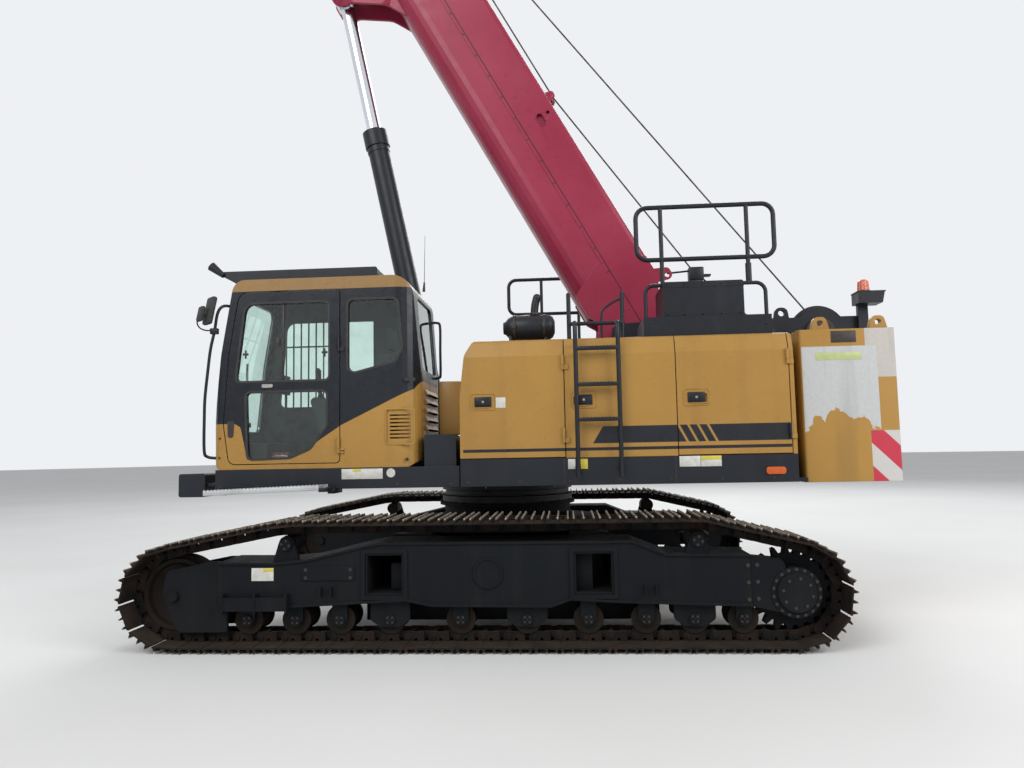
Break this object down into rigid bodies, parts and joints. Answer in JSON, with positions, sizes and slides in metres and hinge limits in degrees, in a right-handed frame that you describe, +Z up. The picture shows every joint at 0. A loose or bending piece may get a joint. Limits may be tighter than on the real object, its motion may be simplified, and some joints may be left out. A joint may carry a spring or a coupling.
{
  "type": "telescopic boom crawler crane",
  "caption": "Tracked mobile crane: telescopic boom on a slewing upper works with cab, hoods and counterweight, raised by one hydraulic cylinder",
  "frame": {"origin": "on the ground, on the slewing axis", "axes": "+X forward as the cab faces, +Y to the cab side, +Z up"},
  "size_m": [7.7636, 4.1, 11.548],
  "materials": {
    "frame_paint": "satin, chipped and dusty",
    "bare_steel": "machined, greasy",
    "track_steel": "rough, worn bright at the grousers, rusty",
    "yellow_paint": "semi-gloss, faded",
    "dark_paint": "satin",
    "window_glass": "clear, dusty",
    "dark_plastic": "grained",
    "step_aluminium": "serrated, dull",
    "engine_iron": "painted, oily",
    "boom_paint": "gloss, dusty",
    "sheave_steel": "machined grooves",
    "rod_chrome": "polished",
    "hook_paint": "semi-gloss"
  },
  "bodies": {
    "root": {"carbody": "frame_paint", "slew_ring": "bare_steel"},
    "left_crawler": {"side_frame_left": "frame_paint", "cross_beams_left": "frame_paint", "track_left": "track_steel", "idler_left": "track_steel", "drive_left": "track_steel", "rollers_left": "track_steel"},
    "right_crawler": {"side_frame_right": "frame_paint", "cross_beams_right": "frame_paint", "track_right": "track_steel", "idler_right": "track_steel", "drive_right": "track_steel", "rollers_right": "track_steel"},
    "upper": {"revolving_frame": "frame_paint", "side_sills": "frame_paint", "cab_shell": "yellow_paint", "cab_glass": "window_glass", "cab_interior": "dark_plastic", "roof_guard": "dark_paint", "side_mirror": "dark_paint", "cab_step": "step_aluminium", "hood_left": "yellow_paint", "ladder": "dark_paint", "hood_right": "yellow_paint", "engine_block": "engine_iron", "counterweight": "yellow_paint", "handrails": "dark_paint", "winch_main": "dark_paint", "winch_aux": "dark_paint", "top_box": "dark_paint", "beacon_post": "dark_paint", "air_cleaner": "dark_paint"},
    "cab_door": {"cab_door": "dark_paint", "cab_door_glass": "window_glass"},
    "hood_door_front": {"hood_door_front": "yellow_paint"},
    "hood_door_rear": {"hood_door_rear": "yellow_paint"},
    "boom": {"boom_base": "boom_paint"},
    "tele_1": {"boom_tele_1": "boom_paint"},
    "tele_2": {"boom_tele_2": "boom_paint"},
    "tele_3": {"boom_tele_3": "boom_paint", "head_sheaves": "sheave_steel"},
    "luff_barrel": {"luff_barrel": "dark_paint"},
    "luff_rod": {"luff_rod": "rod_chrome"},
    "hook": {"hook_block": "hook_paint"}
  },
  "joints": [
    {"name": "gauge_left", "type": "slide", "parent": "root", "child": "left_crawler", "axis": [0, 1, 0], "range_m": [-0.555, 0]},
    {"name": "gauge_right", "type": "slide", "parent": "root", "child": "right_crawler", "axis": [0, 1, 0], "range_m": [0, 0.555]},
    {"name": "swing", "type": "hinge", "parent": "root", "child": "upper", "pos_m": [0, 0, 1.17], "axis": [0, 0, 1], "continuous": true},
    {"name": "cab_door_hinge", "type": "hinge", "parent": "upper", "child": "cab_door", "pos_m": [1.27, 1.482, 2.1], "axis": [0, 0, 1], "range_deg": [0, 150]},
    {"name": "hood_door_front_hinge", "type": "hinge", "parent": "upper", "child": "hood_door_front", "pos_m": [-0.582, 1.502, 1.9], "axis": [0, 0, 1], "range_deg": [0, 90]},
    {"name": "hood_door_rear_hinge", "type": "hinge", "parent": "upper", "child": "hood_door_rear", "pos_m": [-2.362, 1.502, 1.9], "axis": [0, 0, 1], "range_deg": [0, 90]},
    {"name": "boom_luff", "type": "hinge", "parent": "upper", "child": "boom", "pos_m": [-0.95, 0, 2.15], "axis": [0, -1, 0], "range_deg": [-61, 19]},
    {"name": "boom_extend_1", "type": "slide", "parent": "boom", "child": "tele_1", "axis": [0.4848, 0, 0.8746], "range_m": [0, 6.2]},
    {"name": "boom_extend_2", "type": "slide", "parent": "tele_1", "child": "tele_2", "axis": [0.4848, 0, 0.8746], "range_m": [0, 6.2]},
    {"name": "boom_extend_3", "type": "slide", "parent": "tele_2", "child": "tele_3", "axis": [0.4848, 0, 0.8746], "range_m": [0, 6.2]},
    {"name": "luff_barrel_swing", "type": "hinge", "parent": "upper", "child": "luff_barrel", "pos_m": [0.64, 0, 1.5], "axis": [0, -1, 0], "range_deg": [-68, 22]},
    {"name": "luff_rod_slide", "type": "slide", "parent": "luff_barrel", "child": "luff_rod", "axis": [0.2037, 0, 0.979], "range_m": [-1.28, 0.4]},
    {"name": "hook_hang", "type": "hinge", "parent": "tele_3", "child": "hook", "pos_m": [4.01255, 0, 11.06142], "axis": [0, -1, 0], "range_deg": [-20, 62]}
  ],
  "couplings": [
    {"joint": "gauge_right", "follows": "gauge_left", "ratio": -1},
    {"joint": "boom_extend_2", "follows": "boom_extend_1", "ratio": 1},
    {"joint": "boom_extend_3", "follows": "boom_extend_1", "ratio": 1},
    {"joint": "luff_barrel_swing", "follows": "boom_luff", "ratio": 1.1},
    {"joint": "luff_rod_slide", "follows": "boom_luff", "m_per_rad": 1.19},
    {"joint": "hook_hang", "follows": "boom_luff", "ratio": -1}
  ]
}
